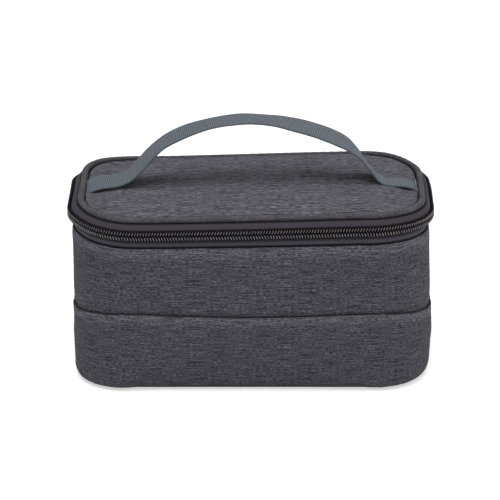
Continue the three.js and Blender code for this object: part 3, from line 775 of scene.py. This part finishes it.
# Flat pieces with the bag's rounded outline
def outline_grid(radius, step):
    """A grid that fills the rounded outline: points, faces, and its edge's points in order."""
    turns = np.radians(np.linspace(0, 90, 9))
    upper = list(CORE_Y + radius * np.sin(turns))
    half = list(CORE_X + radius * np.cos(turns))
    middle = np.linspace(-CORE_Y, CORE_Y, max(2, round(2 * CORE_Y / step)))[1:-1]
    ys = [-y for y in reversed(upper)] + list(middle) + upper
    halves = list(reversed(half)) + [CORE_X + radius] * len(middle) + half
    columns = round(2 * (CORE_X + radius) / step) | 1
    shares = np.linspace(-1, 1, columns)
    across = np.outer(halves, shares)
    grid = np.stack([across, np.repeat(np.array(ys)[:, None], columns, 1)], 2)
    index = np.arange(len(ys) * columns).reshape(len(ys), columns)
    faces = np.stack([index[:-1, :-1], index[:-1, 1:], index[1:, 1:], index[1:, :-1]], 2)
    edge = np.concatenate([index[0], index[1:, -1], index[-1, -2::-1], index[-2:0:-1, 0]])
    return grid.reshape(-1, 2), faces.reshape(-1, 4).tolist(), edge.tolist()


def dome(xy, radius, rise):
    """Height of the padded lid over its edge."""
    x = np.abs(xy[:, 0]) / (CORE_X + radius)
    y = np.abs(xy[:, 1]) / (CORE_Y + radius)
    return rise * (1 - x**2.4) * (1 - y**2.4)


def strap_dimple(xy):
    """How far the lid is drawn down where the ends of the strap go under the piping."""
    near_end = smoothstep(92, 106, np.abs(xy[:, 0]))
    return 1.8 * near_end * np.exp(-((xy[:, 1] / 15) ** 2))


def edge_fullness(xy):
    """How strongly the lid's padded long edges come up to the piping's crest, from 0 upwards."""
    x = np.abs(xy[:, 0])
    front = smoothstep(-28, -50, xy[:, 1]) * (1 - 0.5 * smoothstep(70, 96, x))
    rear = smoothstep(26, 50, xy[:, 1]) * (1 - smoothstep(58, 88, x))
    return front + 1.3 * rear


def skirted(name, grid, faces, edge, skirt, settled=True, upside=False, edge_lift=0.0):
    """A flat piece with rings added round its edge. The skirt lists (radius, height) pairs."""
    points = [grid]
    all_faces = list(faces)
    rim = grid[edge][:, :2]
    core = np.clip(rim, (-CORE_X, -CORE_Y), (CORE_X, CORE_Y))
    out = unit(rim - core)
    inner = edge
    start = len(grid)
    for radius, height in skirt:
        place = core + out * radius
        rise = edge_lift * edge_fullness(place) - strap_dimple(place) if edge_lift else 0
        points.append(np.column_stack([place, np.full(len(edge), height) + rise]))
        outer = list(range(start, start + len(edge)))
        rings = (inner, outer, outer[1:] + outer[:1], inner[1:] + inner[:1])
        all_faces += [list(face) for face in zip(*rings)]
        inner = outer
        start += len(edge)
    if upside:
        all_faces = [face[::-1] for face in all_faces]
    all_points = np.concatenate(points)
    uv = [all_points[index, :2] * MM for face in all_faces for index in face]
    return mesh_object(name, all_points, all_faces, uv, settled)


def flat_piece(name, radius, step, height, skirt, **options):
    """A piece over the rounded outline. Its height is a function of the places."""
    xy, faces, edge = outline_grid(radius, step)
    points = np.column_stack([xy, np.broadcast_to(height(xy), len(xy))])
    return skirted(name, points, faces, edge, skirt, **options)


def lid_surface():
    """The lid's swollen top: points, faces and edge."""
    xy, faces, edge = outline_grid(LID_EDGE_RADIUS, 2.6)
    height = LID_EDGE_Z + dome(xy, LID_EDGE_RADIUS, LID_DOME * 0.75)
    height = height + LID_EDGE_LIFT * edge_fullness(xy)
    points = np.column_stack([xy, height - strap_dimple(xy)])
    pinned = np.zeros(len(xy))
    pinned[edge] = 1
    points = let_swell(points, faces, pinned, 1.6, 1.6, shrink=-0.006)
    return points, faces, edge


def build_lid_fabric():
    points, faces, edge = lid_surface()
    skirt = [(31.2, 118.3), (31.6, 117.8), (31.7, 117.0), (31.5, 116.3)]
    lid = skirted("lid_fabric", points, faces, edge, skirt, edge_lift=LID_EDGE_LIFT)
    # Painted shade: the skirt that turns down into the groove under the piping is darkened.
    seam = np.zeros(len(lid.data.vertices))
    seam[len(points) :] = 1
    seam[len(points) : len(points) + len(edge)] = 0.3
    sew(lid, seam, LID_FABRIC, "lid", ["lid_top_panel"])


def build_piping():
    turns = np.radians(np.arange(16) * 360 / 16)
    fine = sampled(np.linspace(0, PERIMETER, 420, endpoint=False), True)
    creases = puckers(fine, 5.5, 9)
    radius = PIPING_RADIUS + 0.1 * creases[:, None] * np.cos(turns * 2 + 0.6)[None, :]
    across = PIPING_CENTRE + radius * np.cos(turns)
    section = np.stack([across, PIPING_Z + radius * np.sin(turns)], 2)
    piping = loft("piping_tube", fine, section_points(fine, section), tube=True)
    # Painted shade: the piping is darkened on its underside and its inner side, which turn away from
    # the light into the groove.
    painted_underside_shade = np.clip(-1.1 * np.sin(turns) - 0.1, 0, 1) + np.clip(-1.6 * np.cos(turns) - 0.9, 0, 1)
    add_point_value(piping, "seam", np.tile(np.clip(painted_underside_shade, 0, 1), fine.count))
    dress(piping, PIPING_FABRIC, "lid", ["lid_piping"])


def build_lid_inside():
    def foam_height(xy):
        return LID_FOAM_Z + dome(xy, LID_FOAM_RADIUS, LID_DOME * 0.9) - strap_dimple(xy)

    skirt = [(31.7, 116.6), (31.8, 114.6), (31.5, 112.9), (30.6, 112.5)]
    pad = flat_piece("lid_foam_pad", LID_FOAM_RADIUS, 4, foam_height, skirt)
    dress(pad, FOAM, "lid", ["lid_foam"])

    def foil_height(xy):
        return LID_FOIL_Z + 0.3 * waves(xy, 21, (34, 27, 45, 22))

    foil = flat_piece("lid_foil", 31.4, 2.6, foil_height, [(32.0, 111.9)], upside=True)
    solidify(foil, FOIL_THICKNESS)
    dress(foil, FOIL, "lid", ["lid_lining"])

    section = [(32.5, 110.8), (34.3, 110.8), (34.6, 113.3), (34.3, 115.8), (32.6, 115.8), (32.3, 113.3)]
    bind("lid_binding", section, "lid", "lid_seam_binding")


def build_lid():
    build_lid_fabric()
    build_piping()
    build_lid_inside()


# Zip
def zip_route(step):
    count = round((ZIP_END - ZIP_START) / step)
    return sampled(np.linspace(ZIP_START, ZIP_END, count + 1))


def coil_points(side):
    """A continuous filament wound along the zip, as points of its centre line."""
    per_loop = 14
    loops = zip_route(COIL_PITCH).count - 1
    share = np.arange(loops * per_loop + 1) / per_loop
    phase = TAU * (share % 1)
    start = ZIP_START + (0 if side > 0 else COIL_PITCH / 2)
    run = start + (share + 0.2 * np.sin(phase)) * COIL_PITCH
    stations = sampled(np.clip(run, ZIP_START, ZIP_END))
    radius = COIL_RADIUS + 0.72 * np.cos(phase)
    height = ZIP_Z + side * (1.1 + 1.9 * np.sin(phase))
    return np.column_stack([stations.core + stations.out * radius[:, None], height])


def sweep(name, centre, radius, sides):
    """A round wire along points."""
    tangent = unit(np.gradient(centre, axis=0))
    side = np.cross(tangent, (0.0, 0.0, 1.0))
    short = np.linalg.norm(side, axis=1) < 0.05
    side[short] = [1.0, 0.0, 0.0]
    side = unit(side)
    other = np.cross(side, tangent)
    angles = (np.arange(sides) * TAU / sides)[None, :, None]
    offset = side[:, None, :] * np.cos(angles) + other[:, None, :] * np.sin(angles)
    points = centre[:, None, :] + offset * radius
    return loft(name, Route(None, None, run_of(centre), False), points, tube=True)


def stitch_row(name, centre, tangent, length):
    """Separate upright thread stitches: short rounded bars along a row of places."""
    points, faces = [], []
    sides = 5
    profile = ((-0.5, 0.35), (-0.3, 1.0), (0.3, 1.0), (0.5, 0.35))
    tangent = unit(tangent)
    side = unit(np.cross(tangent, (1.0, 0.0, 0.0)))
    for place, along, across, out in zip(centre, tangent, side, np.cross(side, tangent)):
        start = len(points)
        for share, swell in profile:
            for k in range(sides):
                angle = TAU * k / sides
                ring = across * math.cos(angle) + out * math.sin(angle)
                points.append(place + along * length * share + ring * STITCH_WIRE * swell)
        for level in range(len(profile) - 1):
            for k in range(sides):
                n = (k + 1) % sides
                here = start + level * sides
                faces.append([here + k, here + n, here + sides + n, here + sides + k])
        faces.append([start + k for k in range(sides)][::-1])
        top = start + (len(profile) - 1) * sides
        faces.append([top + k for k in range(sides)])
    uv = [(points[index][:2] * MM) for face in faces for index in face]
    return mesh_object(name, points, faces, uv)


def zip_stitches(name, side, reach, length, material, body):
    """Thread that ties each turn of the coil down to its tape; its light colour is also a painted
    glint.
    """
    shift = 0.0 if side > 0 else COIL_PITCH / 2
    route = sampled(np.clip(zip_route(COIL_PITCH).s + shift, ZIP_START, ZIP_END))
    height = np.full(route.count, ZIP_Z + side * reach)
    spots = np.column_stack([route.core + route.out * STITCH_RADIUS, height])
    tangent = unit(np.gradient(spots, axis=0))
    tangent[:, 2] = side * 2.2
    dress(stitch_row(name, spots, tangent, length), material, body)


def build_tape(name, section, painted_tape_shades, material, body, node):
    """One tape of the zip. The painted shade values darken it where it is folded or lies in the shade
    under the coil.
    """
    route = zip_route(2.0)
    obj = loft(name, route, section_points(route, section))
    sew(obj, np.tile(painted_tape_shades, route.count), material, body, [node])


def build_zip():
    section = [
        (38.0, 97.5), (38.2, 100.8), (38.7, 102.2), (39.7, 103.8),
        (40.45, 105.3), (40.65, 106.3), (40.8, 107.4), (40.95, 109.8),
    ]
    painted_tape_shades = (1, 1, 0.9, 0, 0.6, 1, 1, 1)
    build_tape("body_tape", section, painted_tape_shades, BODY_TAPE_LIGHTENED, "bag_body", "body_zip_tape")
    section = [
        (40.95, 110.2), (40.85, 112.6), (40.8, 113.4), (40.3, 114.2),
        (39.2, 115.2), (37.9, 116.1), (36.9, 116.6), (35.9, 116.5),
    ]
    painted_tape_shades = (1, 1, 0.8, 0, 0, 0.15, 0.9, 1)
    build_tape("lid_tape", section, painted_tape_shades, LID_TAPE, "lid", "lid_zip_tape")
    # The lid's stitches are darker than the body's, as painted shade and painted highlight on one
    # thread.
    for side, body, prefix, thread, reach, length in (
        (-1, "bag_body", "body", BODY_THREAD_GLINT, 1.3, 2.5),
        (1, "lid", "lid", LID_THREAD_GLINT, 2.0, 2.3),
    ):
        coil = sweep(f"{prefix}_coil", coil_points(side), COIL_WIRE, 6)
        nodes = [f"{prefix}_zip_teeth", f"{prefix}_zip_teeth_run"]
        dress(coil, TEETH, body, nodes)
        zip_stitches(f"{prefix}_coil_thread_glint", side, reach, length, thread, body)


# Inside
def build_foam():
    heights = np.linspace(BASE_Z + 2.5, FOAM_TOP_Z, 24)
    outer = wall_radii(heights) - FOAM_SETBACK
    inner = np.maximum(outer - FOAM_THICKNESS, FOAM_LEAST_RADIUS)
    up = np.stack([outer, np.broadcast_to(heights, outer.shape)], 2)
    down = np.stack([inner, np.broadcast_to(heights, inner.shape)], 2)[:, ::-1]
    section = np.concatenate([up, down], 1)
    foam = loft("wall_foam_pad", ROUND, section_points(ROUND, section), tube=True)
    dress(foam, FOAM, "bag_body", ["wall_foam"])

    skirt = [(31.2, 5.8), (31.4, 3.6), (31.0, 1.6), (30.2, 1.3)]
    pad = flat_piece("base_foam_pad", 30.6, 4, lambda xy: 6.2, skirt)
    dress(pad, FOAM, "bag_body", ["bottom_foam"])


def build_lining():
    heights = np.linspace(8.0, 99.0, 40)
    grid = np.stack([np.full(40, LINING_RADIUS), heights], 1)
    points = section_points(ROUND, grid)
    flat = points.reshape(-1, 3)
    ripple = waves(flat, 31, (40, 28, 52, 19)) * 0.45
    normal = np.repeat(ROUND.out, 40, 0)
    flat[:, :2] -= normal * (0.2 + ripple[:, None])
    foil = loft("wall_foil", ROUND, flat.reshape(points.shape)[:, ::-1])
    solidify(foil, FOIL_THICKNESS)
    dress(foil, FOIL, "bag_body", ["wall_lining"])

    def floor_height(xy):
        return FLOOR_FOIL_Z + 0.15 * waves(xy, 41, (36, 24, 50, 20))

    floor = flat_piece("floor_foil", 30.9, 2.6, floor_height, [(31.2, 7.2)])
    solidify(floor, FOIL_THICKNESS)
    dress(floor, FOIL, "bag_body", ["bottom_lining"])


def build_inside():
    build_foam()
    build_lining()
    section = [(31.7, 8.0), (32.7, 8.0), (32.8, 10.8), (32.7, 13.6), (31.8, 13.6), (31.6, 10.8)]
    bind("base_binding", section, "bag_body", "base_seam_binding")
    section = [
        (31.7, 91.6), (32.7, 91.6), (32.8, 95.5), (32.9, 99.5), (34.8, 100.1), (38.2, 100.2),
        (38.3, 100.9), (34.6, 101.0), (32.4, 100.6), (31.7, 99.4), (31.6, 95.5),
    ]
    bind("mouth_edge_binding", section, "bag_body", "mouth_binding")

    skirt = [(31.3, 0.3), (31.9, 0.7)]
    base = flat_piece("base_fabric", 30.4, 3, lambda xy: 0.35, skirt, settled=False, upside=True)
    add_point_value(base, "seam", np.zeros(len(base.data.vertices)))
    solidify(base, 0.4)
    dress(base, FABRIC, "bag_body", ["bottom_panel"])


# Hinge cloth across the straight back, from the body's mouth to the lid's seam
HINGE_PROFILE = [
    (40.6, 98.6), (41.3, 100.4), (42.1, 102.4), (42.9, 104.6), (43.5, 107.0), (43.7, 109.4),
    (43.5, 111.6), (42.7, 113.6), (41.3, 115.2), (39.6, 116.4), (37.6, 117.2), (36.4, 117.4),
]


def build_hinge():
    half = CORE_X - 0.6
    count = 61
    xs = np.linspace(half, -half, count)
    core = np.column_stack([xs, np.full(count, CORE_Y)])
    line = Route(core, np.tile([0.0, 1.0], (count, 1)), half - xs, False)
    cloth = loft("hinge_cloth", line, section_points(line, HINGE_PROFILE))
    # Painted shade: the cloth's ends and long edges, where they go in at the seams, are darkened.
    seam = np.zeros((count, len(HINGE_PROFILE)))
    seam[[0, 1, -2, -1]] = 0.8
    seam[:, [0, -1]] = 1
    nodes = ["hinge_strip_body", "hinge_strip_lid"]
    sew(cloth, seam, FABRIC, None, nodes, HINGE_THICKNESS)
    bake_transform(cloth)


# Carry strap, as (x, z) points of its middle line from its left end to its right one
STRAP_LINE = [
    (-107.6, 115.4), (-104.5, 117.9), (-100.0, 119.7), (-95.4, 120.6), (-89.2, 121.2),
    (-83.4, 122.6), (-77.6, 126.2), (-71.3, 132.8), (-65.4, 139.6), (-58.1, 146.5),
    (-50.6, 151.2), (-39.6, 156.1), (-25.8, 160.3), (-12.3, 162.6), (-0.6, 163.2),
    (15.3, 162.0), (26.5, 159.8), (37.7, 157.0), (48.9, 153.2), (57.1, 149.6),
    (63.0, 146.3), (70.0, 140.0), (73.8, 134.6), (78.6, 128.4), (82.2, 124.2),
    (86.0, 121.7), (91.0, 120.8), (97.3, 120.4), (102.0, 119.6), (105.0, 118.6), (107.8, 116.8),
]

# How far its middle line stands to the rear, from left to right
STRAP_REAR_AT = (-90, -60, 0, 60, 90)
STRAP_REAR_BY = (0, 1.2, 2.6, 1.0, 0)

# Its twist in degrees, from left to right: above 0 its rear edge is raised
TWIST_AT = (
    -107, -88, -83, -77, -71, -64, -58, -50, -40, -28, -15, 0,
    13, 25, 37, 48, 58, 64, 69, 75, 79, 85, 97, 107,
)
TWIST_BY = (6, 5, 5, 7, 9, 9, 7, 6, 4, 2, 0, -1, 1, 4.5, 7.5, 10, 8, 3, -2.5, -5, -5, -5, -5, -4)


def smooth_line(knots, step):
    """Points at equal steps along a Catmull-Rom line through the knots, and their distances."""
    knots = np.array(knots, float)
    padded = np.concatenate([[2 * knots[0] - knots[1]], knots, [2 * knots[-1] - knots[-2]]])
    t = np.linspace(0, 1, 20, endpoint=False)[:, None]
    pieces = []
    for a, b, c, d in zip(padded, padded[1:], padded[2:], padded[3:]):
        square, cube = 2 * a - 5 * b + 4 * c - d, 3 * b - a - 3 * c + d
        pieces.append(0.5 * (2 * b + (c - a) * t + square * t**2 + cube * t**3))
    dense = np.concatenate(pieces + [knots[-1:]])
    run = run_of(dense)
    want = np.linspace(0, run[-1], round(run[-1] / step) + 1)
    return picked(want, run, dense), want


def strap_section():
    """The webbing's section with rounded edges, as (across, up) points, counter-clockwise."""
    half, thick = STRAP_WIDTH / 2, STRAP_THICKNESS / 2
    low = [(x, -thick) for x in np.linspace(-half + 0.5, half - 0.5, 13)]
    right = [(half - 0.1, -thick * 0.6), (half, 0), (half - 0.1, thick * 0.6)]
    low_and_right = np.array(low + right)
    return np.concatenate([low_and_right, -low_and_right])


def build_strap():
    line, run = smooth_line(STRAP_LINE, 1.5)
    x, z = line.T
    tangent = unit(np.gradient(line, axis=0))
    twist = np.radians(np.interp(x, TWIST_AT, TWIST_BY))[:, None]
    flat_up = np.column_stack([-tangent[:, 1], 0 * x, tangent[:, 0]])
    flat_across = np.array([0.0, 1.0, 0.0])
    across = flat_across * np.cos(twist) + flat_up * np.sin(twist)
    up = flat_up * np.cos(twist) - flat_across * np.sin(twist)
    section = strap_section()
    cup = 0.35 * np.cos(section[:, 0] / (STRAP_WIDTH / 2) * math.pi / 2)
    ripple = 0.18 * np.sin(run * TAU / 37 + 1)[:, None] * np.sin(section[:, 0] * TAU / 31)[None, :]
    rise = section[None, :, 1] + cup[None, :] + ripple
    centre = np.column_stack([x, np.interp(x, STRAP_REAR_AT, STRAP_REAR_BY), z])
    points = centre[:, None, :] + across[:, None, :] * section[None, :, :1]
    points = points + up[:, None, :] * rise[:, :, None]
    strap = loft("carry_strap", Route(None, None, run, False), points, tube=True, settled=False)
    subdivide(strap)
    nodes = ["handle_end_left", "handle_end_right", "handle_webbing"]
    dress(strap, WEBBING, None, nodes)
    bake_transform(strap)


def dress_metal():
    """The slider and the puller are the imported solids, with rounded edges."""
    for node in ("zip_slider", "zip_puller"):
        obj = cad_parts[node]
        obj.data.materials.clear()
        obj.data.materials.append(METAL)
        bevel = obj.modifiers.new("rounded", "BEVEL")
        set_all(bevel, width=0.25 * MM, segments=3)
        set_all(bevel, limit_method="ANGLE", angle_limit=math.radians(35))


# Stage, in metres
CAMERA_ELEVATION = 22
CAMERA_DISTANCE = 1.703
CAMERA_TARGET = Vector((-0.00056, 0.0, 0.07282))
CAMERA_LENS = 186.0
FLOOR_REACH = 9.0
FLOOR_GLOW = 0.5
WORLD_LIGHT = 0.3
LIGHT_TARGET = (0, 0, 0.08)
LIGHTS = (
    ("key_above", (-0.1, -0.25, 1.3), (1.2, 0.9), 13.5),
    ("fill_front", (0.0, -1.6, 0.7), (1.4, 0.9), 5.2),
    ("side_left", (-1.2, 0.1, 0.45), (0.5, 0.9), 0.3),
    ("side_right", (1.2, 0.1, 0.45), (0.5, 0.9), 3.4),
)


def build_camera():
    data = bpy.data.cameras.new("camera")
    set_all(data, sensor_width=36, lens=CAMERA_LENS, clip_start=0.05, clip_end=60)
    camera = placed("camera", data)
    tilt = math.radians(CAMERA_ELEVATION)
    back = Vector((0, -math.cos(tilt), math.sin(tilt)))
    camera.location = CAMERA_TARGET + back * CAMERA_DISTANCE
    camera.rotation_euler = (-back).to_track_quat("-Z", "Y").to_euler()
    bpy.context.scene.camera = camera


def area_light(name, place, size, power):
    data = bpy.data.lights.new(name, "AREA")
    set_all(data, shape="RECTANGLE", size=size[0], size_y=size[1], energy=power)
    light = placed(name, data)
    light.location = place
    way = Vector(LIGHT_TARGET) - Vector(place)
    light.rotation_euler = way.to_track_quat("-Z", "Y").to_euler()


def build_floor():
    """A white floor that glows a little, to the camera alone."""
    mesh = bpy.data.meshes.new("floor")
    square = ((-1, -1), (1, -1), (1, 1), (-1, 1))
    mesh.from_pydata([(x * FLOOR_REACH, y * FLOOR_REACH, 0) for x, y in square], [], [[0, 1, 2, 3]])
    m = Shader("floor")
    set_inputs(m.surface, {"Base Color": (0.9, 0.9, 0.9, 1), "Emission Color": (1, 1, 1, 1)})
    seen = (m.add("LightPath"), "Is Camera Ray")
    m.join(m.product(seen, FLOOR_GLOW), m.surface, "Emission Strength")
    mesh.materials.append(m.finish(1, specular=0))
    placed("floor", mesh)


def build_world():
    """White to the camera, and a weaker even light on the bag."""
    world = bpy.data.worlds.new("studio")
    bpy.context.scene.world = world
    sky = Nodes(world)
    mix = sky.add("MixShader")
    sky.join((sky.add("LightPath"), "Is Camera Ray"), mix, "Fac")
    for socket, strength in ((1, WORLD_LIGHT), (2, 1)):
        background = sky.add("Background")
        set_inputs(background, {"Color": (1, 1, 1, 1), "Strength": strength})
        sky.join((background, "Background"), mix, socket)
    sky.join((mix, "Shader"), sky.add("OutputWorld"), "Surface")


def build_stage():
    build_floor()
    build_world()
    for light in LIGHTS:
        area_light(*light)
    bpy.context.scene.view_settings.view_transform = "Standard"


build_camera()
build_stage()
build_wall()
build_lid()
build_zip()
build_inside()
build_hinge()
build_strap()
dress_metal()
